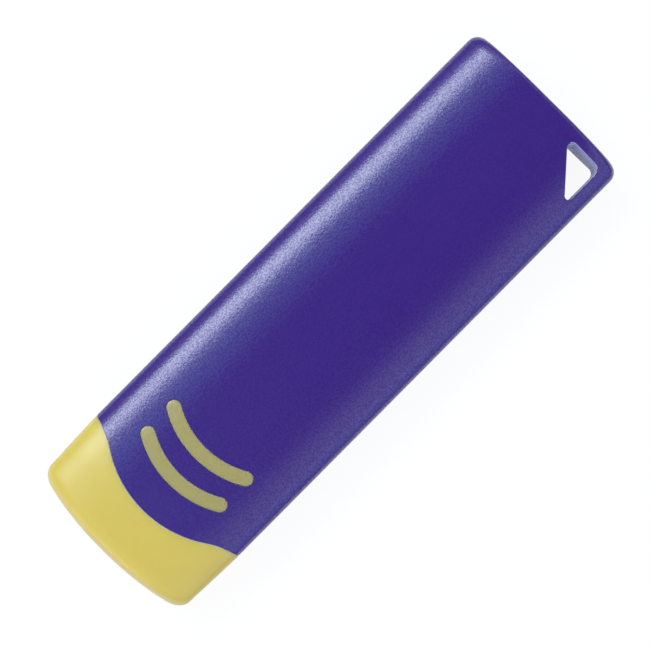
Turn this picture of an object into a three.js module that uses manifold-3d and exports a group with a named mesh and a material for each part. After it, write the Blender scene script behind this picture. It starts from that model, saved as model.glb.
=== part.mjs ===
// Hand-held block eraser: a soft block held between two moulded shells. Millimetres, +Z up.
// The tip of the eraser points to -X and the strap hole is at the +X end.
import * as THREE from 'three';
import { mergeVertices } from 'three/addons/utils/BufferGeometryUtils.js';
import Module from 'manifold-3d';

const wasm = await Module();
wasm.setup();

// Body
const bodyLength = 81.6;
const bodyWidth = 25.8;
const bodyThickness = 9.4;
const landHalfWidth = 3; // flat middle of the front and of the back
const sideHalfHeight = 1.7; // straight part of the long sides
const strapEnd = { corner: 1.65, roll: 0.5, sweep: 2000, blend: 6 };
const tipEnd = { corner: 2.0, roll: 2.2, sweep: 54, blend: 7.6 };
const tipWidthLoss = 0.38; // how much each side draws in along the tip
const tipThicknessLoss = 0.45;
const tipTaperStart = { width: -29, thickness: -33.4 };
const tipMiddleX = -36; // a section between the taper's start and the rounded tip
const leastRounding = 0.4; // of the end edges of an inner form

// Shells
const wall = 1.4;
const seamBevel = 0.15;
const trimBevel = 0.7; // height of the sloping tool that makes the seam bevel
const tongue = { inner: 1.35, outer: 0.8, height: 0.8, mouthGap: 1.2 };
const rebate = { inner: 1.45, outer: 0.72, height: 0.9, mouthGap: 1.0 };

// Wavy mouth: one arc in the middle and an opposite arc at each side
const mouth = { apexX: -33.13, midRadius: 15.88, sideRadius: 10.7, turn: 33 };

// Arc windows
const windowRadius = 13;
const windowHalfWidth = 1.025;
const windowHalfTurn = 30;
const windowApexes = [-27.52, -22.82];

// Strap hole, a right-angled triangle through both shells
const strapHole = { x: 39.01, y: -10.89, legX: 6.6, legY: 6.05 };
const strapHoleRadii = [1.0, 0.65, 0.55]; // at the right angle, then anticlockwise
const strapCollar = 1.2;

// Pins of the front shell and sockets of the rear shell
const bossRadius = 1.5;
const pin = { radius: 0.8, length: 2.2 };
const socket = { radius: 0.86, depth: 2.6 };
const tangPostPlaces = [[-18.8, 9], [-18.8, -9]];
const innerPostPlaces = [[7, 8.6], [7, -8.6], [27, -8.6], [35.5, 8.4]];

// Inner ribs
const ribThickness = 1.0;
const ribClearance = 0.1; // each rib stops this far from the parting plane
const ribRoot = 0.6; // depth in the wall where ribs and bosses start
const stopRib = { x: -15.1, halfLength: 7.5 };
const crossRibXs = [-3, 14, 22];
const spineEndX = 31;

// Eraser block
const mouthGap = 0.1;
const tangSideGap = 0.12;
const tangEndX = -16;
const postGap = 0.15;
const keySideGap = 0.08; // between a raised rib and its window
const keyRecess = 0.28; // how far a raised rib lies below the outer surface

const shoulderSteps = 10;
const landSteps = 3;
const rollSteps = 4;
const roundSides = 16;
const arcSteps = 7;
const halfWidth = bodyWidth / 2;
const halfThickness = bodyThickness / 2;
const endX = bodyLength / 2;
const reach = 60; // longer than anything on the object, for cutting tools
const weldDistance = 1e-4;

function toSolid(geometry) {
  const bare = geometry.clone();
  bare.deleteAttribute('normal');
  bare.deleteAttribute('uv');
  const welded = mergeVertices(bare, weldDistance);
  const vertProperties = welded.getAttribute('position').array;
  const triVerts = new Uint32Array(welded.getIndex().array);
  return new wasm.Manifold(new wasm.Mesh({ numProp: 3, vertProperties, triVerts }));
}

function toGeometry(solid) {
  const mesh = solid.getMesh();
  const geometry = new THREE.BufferGeometry();
  geometry.setAttribute('position', new THREE.BufferAttribute(mesh.vertProperties, mesh.numProp));
  geometry.setIndex(new THREE.BufferAttribute(mesh.triVerts, 1));
  geometry.computeVertexNormals();
  return geometry;
}

function box(minX, maxX, minY, maxY, minZ, maxZ) {
  const geometry = new THREE.BoxGeometry(maxX - minX, maxY - minY, maxZ - minZ);
  geometry.translate((minX + maxX) / 2, (minY + maxY) / 2, (minZ + maxZ) / 2);
  return toSolid(geometry);
}

function post(x, y, radius, minZ, maxZ) {
  const geometry = new THREE.CylinderGeometry(radius, radius, maxZ - minZ, roundSides);
  geometry.rotateX(Math.PI / 2);
  geometry.translate(x, y, (minZ + maxZ) / 2);
  return toSolid(geometry);
}

// A plan shape cut straight through the whole thickness
function prism(shape) {
  const geometry = new THREE.ExtrudeGeometry(shape, {
    depth: bodyThickness * 2,
    bevelEnabled: false,
    curveSegments: arcSteps,
  });
  geometry.translate(0, 0, -bodyThickness);
  return toSolid(geometry);
}

const radians = THREE.MathUtils.degToRad;

// How far a rounded edge of this radius lies inside the full form at a distance from the end
function edgeDrop(radius, distance) {
  const left = Math.max(radius - distance, 0);
  return radius - Math.sqrt(radius * radius - left * left);
}

function innerRadius(radius, inset) {
  return Math.max(radius - inset, leastRounding);
}

// Part of a gentle taper: 0 before the start, 1 at the tip
function tipShare(x, start) {
  return THREE.MathUtils.clamp((start - x) / (start + endX), 0, 1);
}

// One cross-section, inset from the outer surface: flat lands, elliptical shoulders, straight sides
function sectionRing(x, end, distance, inset) {
  const fullWidth = halfWidth - inset - tipWidthLoss * tipShare(x, tipTaperStart.width);
  const fullHeight = halfThickness - inset - tipThicknessLoss * tipShare(x, tipTaperStart.thickness);
  const width = fullWidth - edgeDrop(innerRadius(end.corner, inset), distance);
  const height = fullHeight - edgeDrop(innerRadius(end.roll, inset), distance);
  const shoulderWidth = halfWidth - inset - landHalfWidth;
  const shoulderHeight = halfThickness - inset - sideHalfHeight;
  const inward = x < 0 ? 1 : -1;
  const bend = 1 - THREE.MathUtils.clamp((endX - inset - Math.abs(x)) / end.blend, 0, 1);

  const quarter = [];
  for (let i = 0; i <= shoulderSteps; i += 1) {
    const angle = (i / shoulderSteps) * (Math.PI / 2);
    quarter.push([
      landHalfWidth + shoulderWidth * Math.cos(angle),
      sideHalfHeight + shoulderHeight * Math.sin(angle),
    ]);
  }
  for (let i = landSteps - 1; i > 0; i -= 1) {
    quarter.push([(landHalfWidth * i) / landSteps, halfThickness - inset]);
  }
  const middle = [0, halfThickness - inset];
  const otherQuarter = quarter.map(([y, z]) => [-y, z]).reverse();
  const upper = [...quarter, middle, ...otherQuarter].map(([rawY, rawZ]) => {
    const y = (rawY * width) / (halfWidth - inset);
    const z = (rawZ * height) / (halfThickness - inset);
    const sweep = end.sweep - Math.sqrt(end.sweep * end.sweep - y * y);
    return new THREE.Vector3(x + inward * bend * sweep, y, z);
  });
  const lower = upper.map((p) => new THREE.Vector3(p.x, p.y, -p.z)).reverse();
  return [...upper, ...lower];
}

// The rounded body as stacked cross-sections, its surface moved inwards by the inset.
// slimY narrows it a little more, and leaves its flat lands at their height.
function bodyForm(inset, slimY = 1) {
  const rings = [];
  const span = endX - inset;
  const rounding = (end, i) => (
    innerRadius(end.corner, inset) * (1 - Math.cos((i / rollSteps) * (Math.PI / 2)))
  );
  for (let i = 0; i <= rollSteps; i += 1) {
    const distance = rounding(tipEnd, i);
    rings.push(sectionRing(-span + distance, tipEnd, distance, inset));
  }
  for (const x of [tipMiddleX, tipTaperStart.thickness, tipTaperStart.width]) {
    rings.push(sectionRing(x, tipEnd, reach, inset));
  }
  rings.push(sectionRing(endX - strapEnd.blend - wall, strapEnd, reach, inset));
  for (let i = rollSteps; i >= 0; i -= 1) {
    const distance = rounding(strapEnd, i);
    rings.push(sectionRing(span - distance, strapEnd, distance, inset));
  }
  return toSolid(skin(rings).scale(1, slimY, 1));
}

// Joins the rings, and closes each end with upright strips from its upper to its lower edge
function skin(rings) {
  const count = rings[0].length;
  const indices = [];
  const quad = (a, b, c, d) => indices.push(a, b, c, a, c, d);
  for (let r = 0; r + 1 < rings.length; r += 1) {
    for (let i = 0; i < count; i += 1) {
      const next = (i + 1) % count;
      quad(r * count + i, r * count + next, (r + 1) * count + next, (r + 1) * count + i);
    }
  }
  const last = (rings.length - 1) * count;
  for (let i = 0; i + 1 < count / 2; i += 1) {
    const below = count - 1 - i;
    quad(below, below - 1, i + 1, i);
    quad(last + i, last + i + 1, last + below - 1, last + below);
  }
  const geometry = new THREE.BufferGeometry().setFromPoints(rings.flat());
  geometry.setIndex(indices);
  return geometry;
}

// Everything on the casing's side of the wavy mouth, with the edge moved towards the tip by lead
function casingSide(lead) {
  const turn = radians(mouth.turn);
  const midX = mouth.apexX + mouth.midRadius;
  const spacing = mouth.midRadius + mouth.sideRadius;
  const sideX = midX - spacing * Math.cos(turn);
  const sideY = spacing * Math.sin(turn);
  const midRadius = mouth.midRadius + lead;
  const sideRadius = mouth.sideRadius - lead;
  const shape = new THREE.Shape();
  shape.moveTo(reach, -sideY);
  shape.lineTo(reach, sideY);
  shape.absarc(sideX, sideY, sideRadius, 0, -turn, true);
  shape.absarc(midX, 0, midRadius, Math.PI - turn, Math.PI + turn, false);
  shape.absarc(sideX, -sideY, sideRadius, turn, 0, true);
  return prism(shape);
}

function arcSlot(apexX, width) {
  const centreX = apexX + windowRadius;
  const turn = radians(windowHalfTurn);
  const from = Math.PI - turn;
  const to = Math.PI + turn;
  const endAt = (angle) => [centreX + windowRadius * Math.cos(angle), windowRadius * Math.sin(angle)];
  const shape = new THREE.Shape();
  shape.absarc(centreX, 0, windowRadius + width, from, to, false);
  shape.absarc(...endAt(to), width, to, to + Math.PI, false);
  shape.absarc(centreX, 0, windowRadius - width, to, from, true);
  shape.absarc(...endAt(from), width, from + Math.PI, from + 2 * Math.PI, false);
  return prism(shape);
}

function windowSlots(width) {
  return windowApexes.map((apexX) => arcSlot(apexX, width)).reduce((all, slot) => all.add(slot));
}

// The triangle of the strap hole, grown outwards on all sides
function strapTriangle(grow) {
  const hypotenuse = Math.hypot(strapHole.legX, strapHole.legY);
  const inRadius = (strapHole.legX + strapHole.legY - hypotenuse) / 2;
  const middle = new THREE.Vector2(strapHole.x - inRadius, strapHole.y + inRadius);
  const scale = (inRadius + grow) / inRadius;
  const corners = [[0, 0], [0, strapHole.legY], [-strapHole.legX, 0]].map(([x, y]) => (
    new THREE.Vector2(strapHole.x + x, strapHole.y + y).sub(middle).multiplyScalar(scale).add(middle)
  ));
  const shape = new THREE.Shape();
  corners.forEach((corner, i) => {
    const toLast = corners[(i + 2) % 3].clone().sub(corner).normalize();
    const toNext = corners[(i + 1) % 3].clone().sub(corner).normalize();
    const bisector = toLast.clone().add(toNext).normalize();
    const halfAngle = Math.acos(bisector.dot(toNext));
    const radius = strapHoleRadii[i] + grow;
    const centre = corner.clone().addScaledVector(bisector, radius / Math.sin(halfAngle));
    const from = Math.atan2(toLast.x, -toLast.y);
    const sweep = Math.PI - 2 * halfAngle;
    shape.absarc(centre.x, centre.y, radius, from, from + sweep, false);
  });
  return prism(shape);
}

// The plan outline, cut back at the parting plane so that the closed shells show a fine V seam
function seamTrim(up) {
  const { corner, sweep } = strapEnd;
  const cornerY = halfWidth - corner;
  const sweepTurn = Math.asin(cornerY / sweep);
  const cornerX = endX - sweep * (1 - Math.cos(sweepTurn)) - corner;
  const shape = new THREE.Shape();
  shape.moveTo(mouth.apexX - halfWidth, -halfWidth);
  shape.lineTo(cornerX, -halfWidth);
  shape.absarc(cornerX, -cornerY, corner, -Math.PI / 2, -sweepTurn, false);
  shape.absarc(endX - sweep, 0, sweep, -sweepTurn, sweepTurn, false);
  shape.absarc(cornerX, cornerY, corner, sweepTurn, Math.PI / 2, false);
  shape.lineTo(mouth.apexX - halfWidth, halfWidth);
  const geometry = new THREE.ExtrudeGeometry(shape, {
    depth: bodyThickness,
    bevelThickness: trimBevel,
    bevelSize: trimBevel,
    bevelOffset: -seamBevel,
    bevelSegments: 1,
    curveSegments: arcSteps,
  });
  geometry.translate(0, 0, trimBevel);
  if (!up) {
    geometry.rotateX(Math.PI);
  }
  return toSolid(geometry);
}

const outerForm = bodyForm(0);
const cavityForm = bodyForm(wall);
const ribZone = bodyForm(ribRoot);

// The whole casing before it is parted: wall, collar, windows, strap hole and mouth
function casing() {
  const collar = strapTriangle(strapCollar).intersect(outerForm);
  return outerForm
    .subtract(cavityForm)
    .add(collar)
    .subtract(strapTriangle(0))
    .subtract(windowSlots(windowHalfWidth))
    .intersect(casingSide(0));
}

// Bosses and ribs on one side of the parting plane
function innerWork(minZ, maxZ, ribMinZ, ribMaxZ) {
  const bosses = [...tangPostPlaces, ...innerPostPlaces].map(([x, y]) => post(x, y, bossRadius, minZ, maxZ));
  const half = ribThickness / 2;
  const ribs = [
    box(stopRib.x - half, stopRib.x + half, -stopRib.halfLength, stopRib.halfLength, ribMinZ, ribMaxZ),
    box(stopRib.x, spineEndX, -half, half, ribMinZ, ribMaxZ),
    ...crossRibXs.map((x) => box(x - half, x + half, -halfWidth, halfWidth, ribMinZ, ribMaxZ)),
  ];
  return [...bosses, ...ribs].reduce((all, next) => all.add(next)).intersect(ribZone);
}

// A band round the inside of the wall, between two insets, that stops short of the mouth
function edgeBand(size, minZ, maxZ) {
  return bodyForm(size.outer)
    .subtract(bodyForm(size.inner))
    .intersect(box(-reach, reach, -reach, reach, minZ, maxZ))
    .intersect(casingSide(-size.mouthGap));
}

function frontShell() {
  const half = casing().intersect(seamTrim(true));
  const inside = innerWork(0, halfThickness, ribClearance, halfThickness);
  const pins = [...tangPostPlaces, ...innerPostPlaces].map(([x, y]) => (
    post(x, y, pin.radius, -pin.length, pin.radius)
  ));
  return half
    .add(inside)
    .subtract(edgeBand(rebate, -rebate.height, rebate.height))
    .add(pins.reduce((all, next) => all.add(next)));
}

function rearShell() {
  const half = casing().intersect(seamTrim(false));
  const inside = innerWork(-halfThickness, 0, -halfThickness, -ribClearance);
  const sockets = [...tangPostPlaces, ...innerPostPlaces].map(([x, y]) => (
    post(x, y, socket.radius, -socket.depth, socket.depth)
  ));
  return half
    .add(inside)
    .subtract(sockets.reduce((all, next) => all.add(next)))
    .add(edgeBand(tongue, -tongue.height, tongue.height));
}

function eraserBlock() {
  const tip = outerForm.subtract(casingSide(mouthGap));
  const slimY = (halfWidth - wall - tangSideGap) / (halfWidth - wall);
  const tang = bodyForm(wall, slimY).subtract(box(tangEndX, reach, -reach, reach, -reach, reach));
  const keys = bodyForm(keyRecess).intersect(windowSlots(windowHalfWidth - keySideGap));
  const holes = tangPostPlaces.map(([x, y]) => post(x, y, bossRadius + postGap, -reach, reach));
  return tip
    .add(tang)
    .add(keys)
    .subtract(holes.reduce((all, next) => all.add(next)));
}

const casingBlue = { color: 0x432f86, roughness: 0.42, metalness: 0 };
const eraserYellow = { color: 0xdbc963, roughness: 0.5, metalness: 0 };

const eraser = new THREE.Group();
eraser.position.z = halfThickness; // the back rests on the ground plane

function addPiece(name, solid, finish) {
  const piece = new THREE.Mesh(toGeometry(solid), new THREE.MeshStandardMaterial(finish));
  piece.name = name;
  eraser.add(piece);
}

addPiece('front_shell', frontShell(), casingBlue);
addPiece('rear_shell', rearShell(), casingBlue);
addPiece('eraser_block', eraserBlock(), eraserYellow);

export default eraser;
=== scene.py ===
import math

import bpy
from mathutils import Matrix, Vector


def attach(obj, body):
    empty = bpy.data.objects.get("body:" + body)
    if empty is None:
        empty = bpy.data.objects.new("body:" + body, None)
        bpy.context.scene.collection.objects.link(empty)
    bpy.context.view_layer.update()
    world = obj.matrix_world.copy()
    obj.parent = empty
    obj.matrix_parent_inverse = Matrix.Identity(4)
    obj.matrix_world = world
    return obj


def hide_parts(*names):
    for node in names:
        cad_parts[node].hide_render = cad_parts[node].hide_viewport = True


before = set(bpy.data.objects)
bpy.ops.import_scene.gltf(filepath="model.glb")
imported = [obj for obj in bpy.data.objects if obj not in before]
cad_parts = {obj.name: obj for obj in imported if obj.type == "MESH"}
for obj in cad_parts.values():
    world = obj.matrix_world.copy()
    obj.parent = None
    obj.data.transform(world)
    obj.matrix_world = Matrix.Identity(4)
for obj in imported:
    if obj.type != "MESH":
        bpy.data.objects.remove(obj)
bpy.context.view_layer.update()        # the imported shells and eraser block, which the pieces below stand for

# The pieces are shaped in millimetres about the parting plane, and brought to metres at the end.

nearly = 0.001               # points closer than this to a plane lie on it
weld = 0.0005                # points closer than this are one
sharpTurn = 35.0             # degrees between faces, from which an edge may be bevelled
smoothTurn = 32.0            # degrees up to which faces are shaded as one surface

body = {
    "halfLength": 40.8,
    "halfWidth": 12.9,
    "halfThickness": 4.7,
    "landHalfWidth": 3.0,        # flat middle of the front and of the back
    "sideHalfHeight": 1.7,       # straight part of the long sides
    "strapEnd": {"corner": 1.65, "roll": 0.5, "sweep": 2000.0, "blend": 2.2},
    "tipEnd": {"corner": 2.0, "roll": 2.2, "sweep": 54.0, "blend": 7.6},
    "tipWidthLoss": 0.38,        # each side draws in by this much along the tip
    "tipThicknessLoss": 0.45,
    "widthTaperX": -29.0,
    "thicknessTaperX": -33.4,
    "leastRounding": 0.4,
    "seamZone": 0.25,            # heights this near the parting plane stay as drawn
    "endSteps": 10,
    "shoulderSteps": 26,
}

mouth = {"apexX": -33.13, "midRadius": 15.88, "sideRadius": 10.7, "turn": 33.0, "steps": 40}

windows = {
    "radius": 13.0,
    "halfWidth": 1.025,
    "halfTurn": 30.0,
    "apexes": (-27.52, -22.82),
    "steps": 34,
    "capSteps": 14,
}

strapHole = {
    "corners": (((39.01, -10.89), 1.0), ((39.01, -4.84), 0.65), ((32.41, -10.89), 0.55)),
    "collar": 1.2,
    "steps": 8,
}


# Small helpers for selecting and for edit mode

def dropSelection():
    if bpy.context.object and bpy.context.object.mode != "OBJECT":
        bpy.ops.object.mode_set(mode="OBJECT")
    bpy.ops.object.select_all(action="DESELECT")


def pick(obj):
    dropSelection()
    obj.select_set(True)
    bpy.context.view_layer.objects.active = obj


def edit(obj, mode="VERT"):
    pick(obj)
    bpy.ops.object.mode_set(mode="EDIT")
    bpy.ops.mesh.select_mode(type=mode)
    bpy.ops.mesh.select_all(action="SELECT")


def done():
    bpy.ops.object.mode_set(mode="OBJECT")


def remove(obj):
    pick(obj)
    bpy.ops.object.delete()


def copyOf(obj, name):
    pick(obj)
    bpy.ops.object.duplicate(linked=False)
    copy = bpy.context.object
    copy.name = name
    return copy


def boolean(target, tool, operation="DIFFERENCE"):
    pick(target)
    bpy.ops.object.modifier_add(type="BOOLEAN")
    step = target.modifiers[-1]
    step.operation = operation
    step.solver = "EXACT"
    step.object = tool
    bpy.ops.object.modifier_apply(modifier=step.name)
    remove(tool)


def block(name, low, high):
    dropSelection()
    middle = [(a + b) / 2 for a, b in zip(low, high)]
    bpy.ops.mesh.primitive_cube_add(size=1, location=(0, 0, 0))
    cube = bpy.context.object
    cube.name = name
    edit(cube)
    bpy.ops.transform.resize(value=[b - a for a, b in zip(low, high)], center_override=(0, 0, 0))
    bpy.ops.transform.translate(value=middle)
    done()
    return cube


def post(name, x, y, radius, lowZ, highZ, sides=32):
    dropSelection()
    bpy.ops.mesh.primitive_cylinder_add(vertices=sides, radius=radius, depth=highZ - lowZ, location=(0, 0, 0))
    cylinder = bpy.context.object
    cylinder.name = name
    edit(cylinder)
    bpy.ops.transform.translate(value=(x, y, (lowZ + highZ) / 2))
    done()
    return cylinder


def posts(name, places, radius, lowZ, highZ):
    # several posts as one piece, for one cut
    made = [post(name, x, y, radius, lowZ, highZ) for x, y in places]
    dropSelection()
    for cylinder in made:
        cylinder.select_set(True)
    bpy.context.view_layer.objects.active = made[0]
    bpy.ops.object.join()
    return made[0]


def faceMarks(obj, name):
    return obj.data.color_attributes.new(name, "FLOAT_COLOR", "CORNER")


def markFace(marks, face, level):
    for corner in face.loop_indices:
        marks.data[corner].color = (level, level, level, 1)


# Plan outlines, drawn from a single point with straight runs and turns, then raised

def startOutline(name, x, y):
    dropSelection()
    bpy.ops.mesh.primitive_plane_add(size=1, location=(0, 0, 0))
    outline = bpy.context.object
    outline.name = name
    edit(outline)
    bpy.ops.mesh.merge(type="CENTER")
    bpy.ops.transform.translate(value=(x, y, 0))
    return outline


def runBy(x, y):
    bpy.ops.mesh.extrude_region_move(TRANSFORM_OT_translate={"value": (x, y, 0)})


def turnAbout(x, y, degrees, steps):
    # spin counts the other way round without a window
    bpy.ops.mesh.spin(steps=steps, angle=-math.radians(degrees), center=(x, y, 0), axis=(0, 0, 1))


def raiseOutline(outline, lowZ, highZ):
    bpy.ops.mesh.select_all(action="SELECT")
    bpy.ops.mesh.remove_doubles(threshold=weld)
    bpy.ops.mesh.edge_face_add()
    bpy.ops.transform.translate(value=(0, 0, lowZ))
    bpy.ops.mesh.extrude_region_move(TRANSFORM_OT_translate={"value": (0, 0, highZ - lowZ)})
    bpy.ops.mesh.select_all(action="SELECT")
    bpy.ops.mesh.normals_make_consistent(inside=False)
    done()
    return outline


# The wavy mouth line from the +Y side to the -Y side, moved towards the tip by lead

def mouthStart(sideY, lead):
    turn = math.radians(mouth["turn"])
    spacing = mouth["midRadius"] + mouth["sideRadius"]
    midX = mouth["apexX"] + mouth["midRadius"]
    sideCentre = (midX - spacing * math.cos(turn), spacing * math.sin(turn))
    sideRadius = mouth["sideRadius"] - lead
    rise = sideCentre[1] - sideY
    startTurn = math.degrees(math.asin(rise / sideRadius))
    return midX, sideCentre, startTurn, sideCentre[0] + math.sqrt(sideRadius ** 2 - rise ** 2)


def followMouth(sideY, lead):
    midX, (sideX, sideCentreY), startTurn, startX = mouthStart(sideY, lead)
    sweep = mouth["turn"] - startTurn
    sideSteps = mouth["steps"] // 4
    turnAbout(sideX, sideCentreY, -sweep, sideSteps)
    turnAbout(midX, 0, 2 * mouth["turn"], mouth["steps"])
    turnAbout(sideX, -sideCentreY, -sweep, sideSteps)


def casingPlate(name, sideY, endX, lead, lowZ, highZ):
    startX = mouthStart(sideY, lead)[3]
    outline = startOutline(name, endX, -sideY)
    runBy(0, 2 * sideY)
    runBy(startX - endX, 0)
    followMouth(sideY, lead)
    return raiseOutline(outline, lowZ, highZ)


def windowSlot(name, apexX, halfWidth, lowZ, highZ):
    radius, turn = windows["radius"], windows["halfTurn"]
    centreX = apexX + radius
    upper = math.radians(180 - turn)
    start = (radius + halfWidth) * Vector((math.cos(upper), math.sin(upper)))
    endMiddle = radius * Vector((math.cos(upper), math.sin(upper)))
    outline = startOutline(name, centreX + start.x, start.y)
    turnAbout(centreX, 0, 2 * turn, windows["steps"])
    turnAbout(centreX + endMiddle.x, -endMiddle.y, 180, windows["capSteps"])
    turnAbout(centreX, 0, -2 * turn, windows["steps"])
    turnAbout(centreX + endMiddle.x, endMiddle.y, 180, windows["capSteps"])
    return raiseOutline(outline, lowZ, highZ)


def strapTriangle(name, grow, lowZ, highZ):
    corners = [Vector(place) for place, radius in strapHole["corners"]]
    radii = [radius + grow for place, radius in strapHole["corners"]]
    legX, legY = corners[0].x - corners[2].x, corners[1].y - corners[0].y
    inRadius = (legX + legY - math.hypot(legX, legY)) / 2
    middle = corners[0] + Vector((-inRadius, inRadius))
    corners = [middle + (corner - middle) * (inRadius + grow) / inRadius for corner in corners]
    arcs = []
    for i, corner in enumerate(corners):
        toLast = (corners[i - 1] - corner).normalized()
        toNext = (corners[(i + 1) % 3] - corner).normalized()
        half = toLast.angle(toNext) / 2
        centre = corner + (toLast + toNext).normalized() * radii[i] / math.sin(half)
        reach = radii[i] / math.tan(half)
        arcs.append((corner + toLast * reach, corner + toNext * reach, centre, 180 - 2 * math.degrees(half)))
    place = arcs[0][0]
    outline = startOutline(name, place.x, place.y)
    for start, end, centre, turn in arcs:
        if (start - place).length > nearly:
            runBy(start.x - place.x, start.y - place.y)
        turnAbout(centre.x, centre.y, turn, strapHole["steps"])
        place = end
    runBy(arcs[0][0].x - place.x, arcs[0][0].y - place.y)
    return raiseOutline(outline, lowZ, highZ)


# The body's form: a plain block with flat faces is sliced, and its points move onto the crowned form

def edgeDrop(radius, distance):
    left = min(max(radius - distance, 0.0), radius)
    return radius - math.sqrt(radius * radius - left * left)


def share(x, startX):
    return min(max((startX - x) / (startX + body["halfLength"]), 0.0), 1.0)


def crownHeight(y, inset):
    height = body["halfThickness"] - inset
    across = abs(y) - body["landHalfWidth"]
    if across <= 0:
        return height
    cosine = min(across / (body["halfWidth"] - body["landHalfWidth"] - inset), 1.0)
    return body["sideHalfHeight"] + (height - body["sideHalfHeight"]) * math.sqrt(1 - cosine * cosine)


def onForm(place, inset):
    x, y, z = place
    end = body["tipEnd"] if x < 0 else body["strapEnd"]
    distance = body["halfLength"] - inset - abs(x)
    fullWidth = body["halfWidth"] - inset
    fullHeight = body["halfThickness"] - inset
    corner = max(end["corner"] - inset, body["leastRounding"])
    roll = max(end["roll"] - inset, body["leastRounding"])
    width = fullWidth - body["tipWidthLoss"] * share(x, body["widthTaperX"]) - edgeDrop(corner, distance)
    height = fullHeight - body["tipThicknessLoss"] * share(x, body["thicknessTaperX"]) - edgeDrop(roll, distance)
    newY = min(max(y, -fullWidth), fullWidth) * width / fullWidth
    top = crownHeight(y, inset) * height / fullHeight
    low = min(abs(z), body["seamZone"])
    newZ = low + (abs(z) - low) * (top - body["seamZone"]) / (fullHeight - body["seamZone"])
    newZ = math.copysign(newZ, z)
    bend = 1 - min(max(distance / end["blend"], 0.0), 1.0)
    sweep = end["sweep"] - math.sqrt(end["sweep"] ** 2 - newY ** 2)
    newX = x + bend * sweep * (1 if x < 0 else -1)
    return Vector((newX, newY, newZ))


def sliceLines(inset, steps):
    width = body["halfWidth"] - body["landHalfWidth"] - inset
    lines = [body["landHalfWidth"] + width * math.cos(i / steps * math.pi / 2) for i in range(1, steps + 1)]
    return [y for line in lines for y in (line, -line)] + [0.0]


def endLines(end, side, inset):
    corner = max(end["corner"] - inset, body["leastRounding"])
    steps = body["endSteps"]
    span = body["halfLength"] - inset
    return [side * (span - corner * (1 - math.cos(i / steps * math.pi / 2))) for i in range(1, steps + 1)]


def sliceAt(obj, xs, ys):
    edit(obj)
    for x in xs:
        bpy.ops.mesh.select_all(action="SELECT")
        bpy.ops.mesh.bisect(plane_co=(x, 0, 0), plane_no=(1, 0, 0), threshold=weld)
    for y in ys:
        bpy.ops.mesh.select_all(action="SELECT")
        bpy.ops.mesh.bisect(plane_co=(0, y, 0), plane_no=(0, 1, 0), threshold=weld)
    done()


def shapeOnForm(obj, inset):
    for vertex in obj.data.vertices:
        vertex.co = onForm(vertex.co, inset)
    obj.data.update()


def bevelEdges(obj, wanted, width, segments):
    edit(obj, "EDGE")
    bpy.ops.mesh.select_all(action="DESELECT")
    bpy.ops.mesh.edges_select_sharp(sharpness=math.radians(sharpTurn))
    done()
    points = obj.data.vertices
    chosen = [edge.select and wanted(*(points[i].co for i in edge.vertices)) for edge in obj.data.edges]
    for part in (*points, *obj.data.polygons):
        part.select = False
    for edge, keep in zip(obj.data.edges, chosen):
        edge.select = keep
    bpy.ops.object.mode_set(mode="EDIT")
    bpy.ops.mesh.bevel(offset=width, segments=segments, profile=0.5, affect="EDGES", clamp_overlap=False)
    done()


# Casing: one hollow half shell, made once, then turned into the front and the rear shell

casing = {
    "wall": 1.4,
    "mouthCorner": 0.27,         # rounding of the mouth's four upright corners
    "rim": 0.04,                 # rounding of the window and mouth edges
    "holeRim": 0.13,             # flat chamfer of the strap hole's edges
    "rimSegments": 3,
    "seamBevel": 0.11,
    "chamferPaintedHighlight": 0.75,         # painted highlight: how pale the hole's chamfer is painted at the strap end, against its walls
    "wallSlope": 0.3,            # a wall's normal rises less than this, a chamfer's less than the next
    "chamferSlope": 0.85,
    "markReach": 0.04,           # the marks go this far beyond the chamfer
    "markCorner": 0.3,           # and take in this much of the hole's corners at the strap end
    "middleLines": (-36.0, -33.4, -29.0, -20.0, -10.0, 0.0, 10.0, 20.0, 30.0, 37.0),
    "ribs": 1.0,
    "ribClearance": 0.1,
    "stopRib": (-15.1, 7.5),
    "crossRibs": (-3.0, 14.0, 22.0),
    "spineEnd": 31.0,
    "bossRadius": 1.5,
    "bosses": ((-18.8, 9.0), (-18.8, -9.0), (7.0, 8.6), (7.0, -8.6), (27.0, -8.6), (35.5, 8.4)),
    "pin": (0.8, 2.2),
    "socket": (0.86, 2.6),
    "tongue": {"inner": 1.35, "outer": 0.8, "height": 0.8, "mouthGap": 1.2},
    "rebate": {"inner": 1.45, "outer": 0.72, "height": 0.9, "mouthGap": 1.0},
    "endBow": 0.1,
    "cavityStart": -36.5,
    "innerSteps": 12,
}


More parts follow.
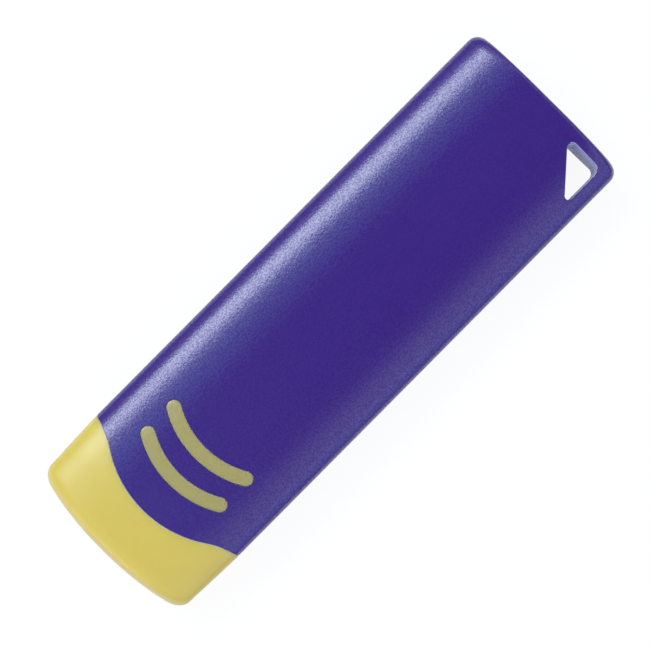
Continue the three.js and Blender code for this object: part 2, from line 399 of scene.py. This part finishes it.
def halfShellSkin():
    top = body["halfThickness"]
    side = body["halfWidth"]
    plate = casingPlate("halfShell", side, body["halfLength"], 0, 0, top)
    for apexX in windows["apexes"]:
        boolean(plate, windowSlot("windowCut", apexX, windows["halfWidth"], -1, top + 1))
    boolean(plate, strapTriangle("strapCut", 0, -1, top + 1))

    def isLevel(a, b):
        alongSide = min(abs(a.y), abs(b.y)) > side - nearly
        atEnd = min(a.x, b.x) > body["halfLength"] - nearly
        return min(a.z, b.z) > top - nearly and not alongSide and not atEnd

    def isMouthCorner(a, b):
        alongSide = min(abs(a.y), abs(b.y)) > side - nearly
        return abs(a.z - b.z) > 1 and alongSide and max(a.x, b.x) < 0

    def isRim(a, b):
        return isLevel(a, b) and max(a.x, b.x) < 0

    def isHoleRim(a, b):
        return isLevel(a, b) and min(a.x, b.x) > 30

    def isSeam(a, b):
        return max(a.z, b.z) < nearly

    bevelEdges(plate, isMouthCorner, casing["mouthCorner"], 4)
    bevelEdges(plate, isRim, casing["rim"], casing["rimSegments"])
    bevelEdges(plate, isHoleRim, casing["holeRim"], 1)
    bevelEdges(plate, isSeam, casing["seamBevel"], 2)
    sliceAt(plate, [*endLines(body["strapEnd"], 1, 0), *casing["middleLines"]], sliceLines(0, body["shoulderSteps"]))
    shapeOnForm(plate, 0)
    return plate


def cavityTool():
    wall = casing["wall"]
    side = body["halfWidth"] - wall
    height = body["halfThickness"] - wall
    tool = block("cavity", (casing["cavityStart"], -side, -height), (body["halfLength"] - wall, side, height))
    lines = [x for x in casing["middleLines"] if x > casing["cavityStart"]]
    sliceAt(tool, [*endLines(body["strapEnd"], 1, wall), *lines], sliceLines(wall, casing["innerSteps"]))
    shapeOnForm(tool, wall)
    half = casing["ribs"] / 2
    low, high = casing["ribClearance"], body["halfThickness"] + 1
    stopX, stopSide = casing["stopRib"]
    boolean(tool, block("rib", (stopX - half, -stopSide, low), (stopX + half, stopSide, high)))
    boolean(tool, block("rib", (stopX, -half, low), (casing["spineEnd"], half, high)))
    for x in casing["crossRibs"]:
        boolean(tool, block("rib", (x - half, -body["halfWidth"] - 1, low), (x + half, body["halfWidth"] + 1, high)))
    boolean(tool, posts("boss", casing["bosses"], casing["bossRadius"], -high, high))
    boolean(tool, strapTriangle("collar", strapHole["collar"], -high, high))
    return tool


def edgeBand(size):
    # a U round the sides and the strap end that stops short of the mouth
    outer, inner, height = size["outer"], size["inner"], size["height"]
    endX = body["halfLength"] - casing["endBow"]
    band = casingPlate("band", body["halfWidth"] - outer, endX - outer, -size["mouthGap"], -height, height)
    hollow = casingPlate("hollow", body["halfWidth"] - inner, endX - inner, size["mouthGap"], -2, 2)
    boolean(band, hollow)
    return band


def frontShell(half):
    shell = copyOf(half, "frontShell")
    boolean(shell, edgeBand(casing["rebate"]))
    radius, length = casing["pin"]
    boolean(shell, posts("pin", casing["bosses"], radius, -length, 2 * radius), "UNION")
    return shell


def rearShell(half):
    shell = copyOf(half, "rearShell")
    edit(shell)
    bpy.ops.transform.resize(value=(1, 1, -1), center_override=(0, 0, 0))
    bpy.ops.mesh.flip_normals()
    done()
    radius, depth = casing["socket"]
    boolean(shell, posts("socket", casing["bosses"], radius, -depth, 1))
    boolean(shell, edgeBand(casing["tongue"]), "UNION")
    return shell


def markHoleWalls(obj):
    # marks for painted light: 1 on the strap hole's walls, painted paler for the floor light coming up through them,
    # less on the chamfer of the wall at the strap end, painted as a highlight line
    marks = faceMarks(obj, "holeWall")
    (cornerX, cornerY), (topX, topY), (farX, farY) = [place for place, radius in strapHole["corners"]]
    slant = Vector((farY - topY, topX - farX)).normalized()
    reach = casing["holeRim"] + casing["markReach"]
    for face in obj.data.polygons:
        x, y = face.center.x, face.center.y
        rise = abs(face.normal.z)
        atEnd = x - cornerX
        beyond = max(atEnd, cornerY - y, slant.dot((x - topX, y - topY)))
        level = 0.0
        if beyond < reach and rise < casing["wallSlope"]:
            level = 1.0
        elif beyond < reach and atEnd > -casing["markCorner"] and rise < casing["chamferSlope"]:
            level = casing["chamferPaintedHighlight"]
        markFace(marks, face, level)


half = halfShellSkin()
boolean(half, cavityTool())
front = frontShell(half)
rear = rearShell(half)
remove(half)
for shell in (front, rear):
    markHoleWalls(shell)
print("casing: two half shells with windows, strap hole, ribs, pins and sockets")


# Eraser block: the tip outside the mouth, the tang inside the casing and the raised ribs in its windows

eraser = {
    "gap": 0.015,
    "rim": 0.14,
    "tangStart": -35.5,
    "tangEnd": -16.0,
    "tangRim": 0.3,
    "tangSlim": 0.9897,
    "tipLines": (-38.2, -37.4, -36.6, -35.8, -35.0, -34.2, -33.4, -32.4, -31.4, -30.4, -29.0),
    "keyGap": 0.015,
    "keyRecess": 0.1,
    "keyRim": 0.2,
    "ribEdgeSlopes": (0.3, 0.93),
    "ribMargin": 2.0,            # the ribs' marks start this far before the first window
    "edgeStart": 0.005,          # the mouth's marks leave out the wall that faces the casing
    "edgeRise": 0.05,
    "postHoles": ((-18.8, 9.0), (-18.8, -9.0)),
    "postHoleRadius": 1.65,
}


def eraserTip():
    side, top, endX = body["halfWidth"], body["halfThickness"], -body["halfLength"]
    startX = mouthStart(side, eraser["gap"])[3]
    outline = startOutline("eraserBlock", endX, side)
    runBy(startX - endX, 0)
    followMouth(side, eraser["gap"])
    runBy(endX - startX, 0)
    tip = raiseOutline(outline, -top, top)

    def isShoulder(a, b):
        alongSide = min(abs(a.y), abs(b.y)) > side - nearly
        upright = abs(a.z - b.z) > 1 and alongSide and min(a.x, b.x) > endX + 1
        level = abs(a.z - b.z) < nearly and min(a.x, b.x) > endX + 1
        return upright or (level and not alongSide)

    bevelEdges(tip, isShoulder, eraser["rim"], 3)
    sliceAt(tip, [*endLines(body["tipEnd"], -1, 0), *eraser["tipLines"]], sliceLines(0, body["shoulderSteps"]))
    shapeOnForm(tip, 0)
    return tip


def eraserTang():
    wall = casing["wall"]
    side = body["halfWidth"] - wall
    height = body["halfThickness"] - wall
    tang = block("tang", (eraser["tangStart"], -side, -height), (eraser["tangEnd"], side, height))
    bevelEdges(tang, lambda a, b: min(a.x, b.x) > eraser["tangEnd"] - nearly, eraser["tangRim"], 3)
    sliceAt(tang, [x for x in eraser["tipLines"] if x > eraser["tangStart"]], sliceLines(wall, casing["innerSteps"]))
    shapeOnForm(tang, wall)
    edit(tang)
    bpy.ops.transform.resize(value=(1, eraser["tangSlim"], 1), center_override=(0, 0, 0))
    done()
    return tang


def raisedRib(apexX, side):
    inset = eraser["keyRecess"]
    top = body["halfThickness"] - inset
    rib = windowSlot("raisedRib", apexX, windows["halfWidth"] - eraser["keyGap"], 0, top)
    bevelEdges(rib, lambda a, b: min(a.z, b.z) > top - nearly, eraser["keyRim"], 3)
    sliceAt(rib, [], [y for y in sliceLines(inset, body["shoulderSteps"]) if abs(y) < windows["radius"] * 0.6])
    shapeOnForm(rib, inset)
    if side < 0:
        edit(rib)
        bpy.ops.transform.resize(value=(1, 1, -1), center_override=(0, 0, 0))
        bpy.ops.mesh.flip_normals()
        done()
    return rib


def eraserBlock():
    solid = eraserTip()
    boolean(solid, eraserTang(), "UNION")
    for apexX in windows["apexes"]:
        for side in (1, -1):
            boolean(solid, raisedRib(apexX, side), "UNION")
    boolean(solid, posts("postHole", eraser["postHoles"], eraser["postHoleRadius"], -6, 6))
    return solid


def beyondMouth(x, y):
    # distance from the wavy mouth line, above zero on the tip's side
    midX, (sideX, sideY), startTurn, startX = mouthStart(body["halfWidth"], 0)
    if abs(y) < mouth["midRadius"] * math.sin(math.radians(mouth["turn"])):
        return math.hypot(x - midX, y) - mouth["midRadius"]
    return mouth["sideRadius"] - math.hypot(x - sideX, abs(y) - sideY)


def markEdgeGlow(obj):
    # painted light: the faces of the small roundings at the mouth and on the ribs are marked, and the material
    # paints them paler, as light coming through the thin edges
    def atMouth(x, y, z, rise):
        beyond = beyondMouth(x, y) - eraser["gap"]
        return eraser["edgeStart"] < beyond < eraser["rim"] and rise > eraser["edgeRise"]

    def atRib(x, y, z, rise):
        low, high = eraser["ribEdgeSlopes"]
        nearWindows = x > windows["apexes"][0] - eraser["ribMargin"] and abs(z) > body["sideHalfHeight"]
        return nearWindows and low < rise < high

    for name, chosen in (("mouthEdgeGlow", atMouth), ("ribEdgeGlow", atRib)):
        marks = faceMarks(obj, name)
        for face in obj.data.polygons:
            markFace(marks, face, 1.0 if chosen(*face.center, abs(face.normal.z)) else 0.0)


soft = eraserBlock()
markEdgeGlow(soft)
print("eraser block: tip, tang and raised ribs")


# Finishing: smooth shading that follows the crowned form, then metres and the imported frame's height

def wholeForm():
    side, top, end = body["halfWidth"], body["halfThickness"], body["halfLength"]
    form = block("wholeForm", (-end, -side, -top), (end, side, top))
    lines = [*endLines(body["strapEnd"], 1, 0), *endLines(body["tipEnd"], -1, 0)]
    lines += [*casing["middleLines"], *eraser["tipLines"]]
    sliceAt(form, lines, sliceLines(0, body["shoulderSteps"]))
    shapeOnForm(form, 0)
    return form


def toFrame(obj):
    edit(obj)
    bpy.ops.mesh.remove_doubles(threshold=weld)
    bpy.ops.transform.translate(value=(0, 0, body["halfThickness"]))
    done()
    pick(obj)
    bpy.ops.transform.resize(value=(0.001, 0.001, 0.001), center_override=(0, 0, 0))
    bpy.ops.object.transform_apply(location=False, rotation=False, scale=True)


def smoothLike(obj, form, name):
    pick(obj)
    bpy.ops.object.shade_smooth_by_angle(angle=math.radians(smoothTurn))
    bpy.ops.object.modifier_add(type="WEIGHTED_NORMAL")
    step = obj.modifiers[-1]
    step.keep_sharp = True
    bpy.ops.object.modifier_apply(modifier=step.name)
    bpy.ops.object.modifier_add(type="DATA_TRANSFER")
    step = obj.modifiers[-1]
    step.object = form
    step.use_loop_data = True
    step.data_types_loops = {"CUSTOM_NORMAL"}
    step.loop_mapping = "POLYINTERP_NEAREST"
    step.use_max_distance = True
    step.max_distance = 0.00001      # only points that lie on the outer form
    bpy.ops.object.modifier_apply(modifier=step.name)
    obj.name = name


form = wholeForm()
toFrame(form)
pick(form)
bpy.ops.object.shade_smooth()
for obj, name in ((front, "frontShell"), (rear, "rearShell"), (soft, "eraserBlock")):
    toFrame(obj)
    smoothLike(obj, form, name)
remove(form)
print("pieces smoothed and placed")

for obj, node, slot in (
    (front, "front_shell", "case_blue"),
    (rear, "rear_shell", "case_blue"),
    (soft, "eraser_block", "eraser_yellow"),
):
    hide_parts(node)
    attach(obj, "root")


# Materials: two shared node groups, then one material for the casing and one for the eraser

def addNode(tree, kind, values=None, **settings):
    node = tree.nodes.new(kind)
    for name, value in settings.items():
        setattr(node, name, value)
    for name, value in (values or {}).items():
        node.inputs[name].default_value = value
    return node


def startGroup(name, inputs, outputs):
    group = bpy.data.node_groups.new(name, "ShaderNodeTree")
    for socket, default in inputs:
        made = group.interface.new_socket(socket, in_out="INPUT", socket_type="NodeSocketFloat")
        made.default_value = default
    for socket in outputs:
        group.interface.new_socket(socket, in_out="OUTPUT", socket_type="NodeSocketFloat")
    return group, addNode(group, "NodeGroupInput"), addNode(group, "NodeGroupOutput")


def sparkGrain():
    # the fine texture of a spark-eroded mould: round pits with a finer roughness over them
    inputs = (("PitsPerMetre", 5200.0), ("FineShare", 0.35))
    group, given, result = startGroup("sparkGrain", inputs, ("Height", "Glint"))
    place = addNode(group, "ShaderNodeTexCoord")
    pits = addNode(group, "ShaderNodeTexNoise", {"Detail": 1.0, "Roughness": 0.5})
    fine = addNode(group, "ShaderNodeTexNoise", {"Detail": 0.0})
    finer = addNode(group, "ShaderNodeMath", {1: 1.9}, operation="MULTIPLY")
    blend = addNode(group, "ShaderNodeMix", data_type="FLOAT")
    for noise in (pits, fine):
        group.links.new(place.outputs["Object"], noise.inputs["Vector"])
    group.links.new(given.outputs["PitsPerMetre"], pits.inputs["Scale"])
    group.links.new(given.outputs["PitsPerMetre"], finer.inputs[0])
    group.links.new(finer.outputs["Value"], fine.inputs["Scale"])
    group.links.new(given.outputs["FineShare"], blend.inputs["Factor"])
    group.links.new(pits.outputs["Fac"], blend.inputs["A"])
    group.links.new(fine.outputs["Fac"], blend.inputs["B"])
    group.links.new(blend.outputs["Result"], result.inputs["Height"])
    group.links.new(fine.outputs["Fac"], result.inputs["Glint"])
    return group


def handledMottle():
    # broad, faint unevenness from moulding and handling, from 0 to 1
    inputs = (("PatchesPerMetre", 160.0), ("Contrast", 1.0))
    group, given, result = startGroup("handledMottle", inputs, ("Amount",))
    place = addNode(group, "ShaderNodeTexCoord")
    patches = addNode(group, "ShaderNodeTexNoise", {"Detail": 3.0, "Roughness": 0.55})
    centred = addNode(group, "ShaderNodeMath", {1: 0.5}, operation="SUBTRACT")
    scaled = addNode(group, "ShaderNodeMath", operation="MULTIPLY")
    back = addNode(group, "ShaderNodeMath", {1: 0.5}, operation="ADD", use_clamp=True)
    group.links.new(place.outputs["Object"], patches.inputs["Vector"])
    group.links.new(given.outputs["PatchesPerMetre"], patches.inputs["Scale"])
    group.links.new(patches.outputs["Fac"], centred.inputs[0])
    group.links.new(centred.outputs["Value"], scaled.inputs[0])
    group.links.new(given.outputs["Contrast"], scaled.inputs[1])
    group.links.new(scaled.outputs["Value"], back.inputs[0])
    group.links.new(back.outputs["Value"], result.inputs["Amount"])
    return group


grainGroup = sparkGrain()
mottleGroup = handledMottle()


def groupNode(tree, group, **values):
    node = addNode(tree, "ShaderNodeGroup", node_tree=group)
    for name, value in values.items():
        node.inputs[name].default_value = value
    return node


def startMaterial(name, shaderValues):
    material = bpy.data.materials.new(name)
    material.use_nodes = True
    tree = material.node_tree
    shader = tree.nodes["Principled BSDF"]
    for socket, value in shaderValues.items():
        shader.inputs[socket].default_value = value
    return material, tree, shader


def mixColour(tree, amount, first, second):
    mix = addNode(tree, "ShaderNodeMix", data_type="RGBA")
    tree.links.new(amount, mix.inputs["Factor"])
    for socket, colour in ((6, first), (7, second)):
        if isinstance(colour, tuple):
            mix.inputs[socket].default_value = (*colour, 1)
        else:
            tree.links.new(colour, mix.inputs[socket])
    return mix.outputs[2]


def addBump(tree, shader, height, strength, depth):
    bump = addNode(tree, "ShaderNodeBump", {"Strength": strength, "Distance": depth})
    tree.links.new(height, bump.inputs["Height"])
    tree.links.new(bump.outputs["Normal"], shader.inputs["Normal"])


def spread(tree, amount, limits, between=(0.0, 1.0)):
    # the part of amount that lies between, spread over the limits
    start, end = between
    low, high = limits
    mapped = addNode(tree, "ShaderNodeMapRange", {"From Min": start, "From Max": end, "To Min": low, "To Max": high})
    tree.links.new(amount, mapped.inputs["Value"])
    return mapped.outputs["Result"]


caseFinish = {
    "deepBlue": (0.046, 0.0108, 0.221),
    "brightBlue": (0.050, 0.0124, 0.238),
    "roughness": (0.20, 0.24),
    "grainDepth": 0.00004,
    "grainStrength": 0.8,
    "pitsPerMetre": 2400.0,
    "glint": (0.4, 0.6),         # the fine noise between these gives the coat below
    "coat": (0.3, 1.0),          # the grain's pits against its polished tops
    "paintedWallLight": (0.48, 0.49, 0.78),   # painted light: the hole's walls are painted this paler blue for the floor light that comes up through them
    "wallRoughness": 0.45,
}

eraserFinish = {
    "yellow": (0.985, 0.735, 0.126),
    "warmYellow": (0.965, 0.71, 0.112),
    "windowShadeYellow": (0.57, 0.49, 0.16),     # painted shade: the core seen in the windows, darker where the dark casing swallows the light
    "windowShadeX": (-0.0290, -0.0286),
    "paintedRimGlow": (0.78, 0.71, 0.47),           # painted glow: edges turned away from the eye are painted paler, for light coming through thin edges
    "rimGlowAngle": (0.35, 0.9),
    "rimGlowShare": 0.75,
    # painted glow on the small roundings at the mouth and on the ribs
    "mouthEdgeGlow": (1.0, 0.77, 0.55),
    "ribEdgeGlow": (0.78, 0.72, 0.46),
    "roughness": (0.32, 0.38),
    "grainDepth": 0.000012,
    "grainStrength": 0.3,
    "pitsPerMetre": 3600.0,
}


def satinCase():
    material, tree, shader = startMaterial("satinVioletBlue", {
        "IOR": 1.52,
        "Specular Tint": (0.9, 0.94, 1.0, 1.0),
        "Coat IOR": 1.58,
        "Coat Roughness": 0.23,
    })
    grain = groupNode(tree, grainGroup, PitsPerMetre=caseFinish["pitsPerMetre"], FineShare=0.35)
    mottle = groupNode(tree, mottleGroup, PatchesPerMetre=160.0, Contrast=1.0)
    outside = mixColour(tree, mottle.outputs["Amount"], caseFinish["deepBlue"], caseFinish["brightBlue"])
    # painted light: the hole's walls and the strap end's chamfer take a paler blue, and also lose their coat and
    # some gloss
    wall = addNode(tree, "ShaderNodeAttribute", attribute_name="holeWall").outputs["Fac"]
    tree.links.new(mixColour(tree, wall, outside, caseFinish["paintedWallLight"]), shader.inputs["Base Color"])
    satin = spread(tree, mottle.outputs["Amount"], caseFinish["roughness"])
    dulled = addNode(tree, "ShaderNodeMix", {"B": caseFinish["wallRoughness"]}, data_type="FLOAT")
    tree.links.new(wall, dulled.inputs["Factor"])
    tree.links.new(satin, dulled.inputs["A"])
    tree.links.new(dulled.outputs["Result"], shader.inputs["Roughness"])
    glint = spread(tree, grain.outputs["Glint"], caseFinish["coat"], caseFinish["glint"])
    bare = addNode(tree, "ShaderNodeMath", {0: 1.0}, operation="SUBTRACT")
    coated = addNode(tree, "ShaderNodeMath", operation="MULTIPLY")
    tree.links.new(wall, bare.inputs[1])
    tree.links.new(glint, coated.inputs[0])
    tree.links.new(bare.outputs["Value"], coated.inputs[1])
    tree.links.new(coated.outputs["Value"], shader.inputs["Coat Weight"])
    addBump(tree, shader, grain.outputs["Height"], caseFinish["grainStrength"], caseFinish["grainDepth"])
    return material


def softYellow():
    material, tree, shader = startMaterial("softYellow", {
        "IOR": 1.75,
        "Subsurface Weight": 1.0,
        "Subsurface Radius": (0.75, 0.85, 0.55),
        "Subsurface Scale": 0.0011,
    })
    grain = groupNode(tree, grainGroup, PitsPerMetre=eraserFinish["pitsPerMetre"], FineShare=0.2)
    mottle = groupNode(tree, mottleGroup, PatchesPerMetre=110.0, Contrast=1.2)
    outside = mixColour(tree, mottle.outputs["Amount"], eraserFinish["warmYellow"], eraserFinish["yellow"])
    place = addNode(tree, "ShaderNodeTexCoord")
    axes = addNode(tree, "ShaderNodeSeparateXYZ")
    tree.links.new(place.outputs["Object"], axes.inputs["Vector"])
    # painted shade: past the mouth the core is painted darker, in the casing's windows
    inside = spread(tree, axes.outputs["X"], (0.0, 1.0), eraserFinish["windowShadeX"])
    # painted glow: faces turned away from the eye are painted paler
    turned = addNode(tree, "ShaderNodeLayerWeight", {"Blend": 0.5})
    rim = spread(tree, turned.outputs["Facing"], (0.0, eraserFinish["rimGlowShare"]), eraserFinish["rimGlowAngle"])
    tip = mixColour(tree, rim, outside, eraserFinish["paintedRimGlow"])
    block = mixColour(tree, inside, tip, eraserFinish["windowShadeYellow"])
    # painted glow on the marked roundings at the mouth and on the ribs
    for edge in ("mouthEdgeGlow", "ribEdgeGlow"):
        mark = addNode(tree, "ShaderNodeAttribute", attribute_name=edge)
        block = mixColour(tree, mark.outputs["Fac"], block, eraserFinish[edge])
    tree.links.new(block, shader.inputs["Base Color"])
    tree.links.new(spread(tree, mottle.outputs["Amount"], eraserFinish["roughness"]), shader.inputs["Roughness"])
    addBump(tree, shader, grain.outputs["Height"], eraserFinish["grainStrength"], eraserFinish["grainDepth"])
    return material


caseMaterial = satinCase()
eraserMaterial = softYellow()
for obj, material in ((front, caseMaterial), (rear, caseMaterial), (soft, eraserMaterial)):
    obj.data.materials.clear()
    obj.data.materials.append(material)
print("materials placed")


# Studio: pale floor, a softbox to the side with a bluish one above it, a weak fill across from them,
# two small lights at the tip and a dim room whose walls are brightest halfway up

studio = {
    "floorSize": 4.0,
    "floorGlow": 0.92,
    "floorShade": 0.12,
    "floorAlbedo": 0.8,
    "key": {"azimuth": 90, "tilt": 40.6, "distance": 0.5, "size": (0.3, 0.15), "twist": -12.0, "power": 0.9,
            "colour": (0.81, 0.905, 1.0)},
    "fill": {"azimuth": -90, "tilt": 66.0, "distance": 0.6, "size": (0.9, 0.3), "twist": 0.0, "power": 0.6,
             "colour": (0.33, 0.5, 1.0)},
    "halo": {"azimuth": 90, "tilt": 21.5, "distance": 0.5, "size": (0.5, 0.18), "twist": 0.0, "power": 0.18,
             "colour": (0.26, 0.6, 1.0)},
    "tipHalo": {"azimuth": 180, "tilt": 16.0, "distance": 0.5, "size": (0.5, 0.16), "twist": 0.0, "power": 0.09,
                "colour": (0.35, 0.65, 1.0)},
    "tipLight": {"azimuth": 180, "tilt": 84.0, "distance": 0.6, "size": (0.4, 0.2), "twist": 0.0, "power": 0.5,
                 "colour": (1.0, 0.95, 0.85)},
    "room": (                    # height of the direction from 0 to 1, and the light from there
        (0.0, (0.1, 0.09, 0.24)),
        (0.94, (0.16, 0.14, 0.13)),
        (0.2, (0.31, 0.33, 0.39)),
        (0.45, (0.35, 0.36, 0.4)),
        (0.6, (0.7, 0.71, 0.84)),
        (0.84, (0.7, 0.71, 0.84)),
    ),
    "cameraPlace": (0.000033, 0.000185, 0.3047),
    "cameraTurn": -45.214,
    "lens": 128.0,
}


def seenWhite(tree):
    # 1 for camera, glossy and transmission rays
    path = addNode(tree, "ShaderNodeLightPath")
    either = addNode(tree, "ShaderNodeMath", operation="MAXIMUM")
    every = addNode(tree, "ShaderNodeMath", operation="MAXIMUM")
    tree.links.new(path.outputs["Is Camera Ray"], either.inputs[0])
    tree.links.new(path.outputs["Is Glossy Ray"], either.inputs[1])
    tree.links.new(either.outputs["Value"], every.inputs[0])
    tree.links.new(path.outputs["Is Transmission Ray"], every.inputs[1])
    return every.outputs["Value"]


def paleFloor():
    dropSelection()
    bpy.ops.mesh.primitive_plane_add(size=studio["floorSize"], location=(0, 0, 0))
    floor = bpy.context.object
    floor.name = "paleFloor"
    material = bpy.data.materials.new("paleFloor")
    material.use_nodes = True
    tree = material.node_tree
    tree.nodes.clear()
    output = addNode(tree, "ShaderNodeOutputMaterial")
    level = studio["floorShade"]
    shade = addNode(tree, "ShaderNodeBsdfDiffuse", {"Color": (level, level, level, 1)})
    glow = addNode(tree, "ShaderNodeEmission", {"Color": (1, 1, 1, 1), "Strength": studio["floorGlow"]})
    seen = addNode(tree, "ShaderNodeAddShader")
    level = studio["floorAlbedo"]
    plain = addNode(tree, "ShaderNodeBsdfDiffuse", {"Color": (level, level, level, 1)})
    choose = addNode(tree, "ShaderNodeMixShader")
    tree.links.new(shade.outputs[0], seen.inputs[0])
    tree.links.new(glow.outputs[0], seen.inputs[1])
    tree.links.new(seenWhite(tree), choose.inputs[0])
    tree.links.new(plain.outputs[0], choose.inputs[1])
    tree.links.new(seen.outputs[0], choose.inputs[2])
    tree.links.new(choose.outputs[0], output.inputs["Surface"])
    floor.data.materials.append(material)


def softbox(name, values):
    azimuth, tilt, twist = (math.radians(values[key]) for key in ("azimuth", "tilt", "twist"))
    across = values["distance"] * math.sin(tilt)
    place = (across * math.cos(azimuth), across * math.sin(azimuth), values["distance"] * math.cos(tilt))
    aim = Matrix.Rotation(azimuth - math.pi / 2, 3, "Z") @ Matrix.Rotation(-tilt, 3, "X")
    facing = aim @ Matrix.Rotation(twist, 3, "Z")
    bpy.ops.object.light_add(type="AREA", location=place, rotation=facing.to_euler())
    light = bpy.context.object
    light.name = name
    light.data.shape = "RECTANGLE"
    light.data.size, light.data.size_y = values["size"]
    light.data.energy = values["power"]
    light.data.color = values["colour"]


def dimRoom():
    world = bpy.context.scene.world or bpy.data.worlds.new("room")
    bpy.context.scene.world = world
    world.use_nodes = True
    tree = world.node_tree
    tree.nodes.clear()
    output = addNode(tree, "ShaderNodeOutputWorld")
    room = addNode(tree, "ShaderNodeBackground", {"Strength": 1.0})
    white = addNode(tree, "ShaderNodeBackground", {"Color": (1, 1, 1, 1), "Strength": 1.0})
    place = addNode(tree, "ShaderNodeTexCoord")
    axes = addNode(tree, "ShaderNodeSeparateXYZ")
    levels = addNode(tree, "ShaderNodeValToRGB")
    marks = levels.color_ramp.elements
    for i, (height, colour) in enumerate(studio["room"]):
        mark = marks[i] if i < 2 else marks.new(height)      # the ramp starts with two marks
        mark.position, mark.color = height, (*colour, 1)
    choose = addNode(tree, "ShaderNodeMixShader")
    path = addNode(tree, "ShaderNodeLightPath")
    tree.links.new(place.outputs["Generated"], axes.inputs["Vector"])
    tree.links.new(axes.outputs["Z"], levels.inputs["Fac"])
    tree.links.new(levels.outputs["Color"], room.inputs["Color"])
    tree.links.new(path.outputs["Is Camera Ray"], choose.inputs[0])
    tree.links.new(room.outputs[0], choose.inputs[1])
    tree.links.new(white.outputs[0], choose.inputs[2])
    tree.links.new(choose.outputs[0], output.inputs["Surface"])


paleFloor()
for name in ("key", "fill", "halo", "tipHalo", "tipLight"):
    softbox(name + "Softbox", studio[name])
dimRoom()

bpy.ops.object.camera_add(location=studio["cameraPlace"], rotation=(0, 0, math.radians(studio["cameraTurn"])))
camera = bpy.context.object
camera.data.lens = studio["lens"]
camera.data.sensor_width = 36.0
camera.data.clip_start = 0.01
bpy.context.scene.camera = camera
bpy.context.scene.view_settings.view_transform = "Standard"
print("studio and camera placed")
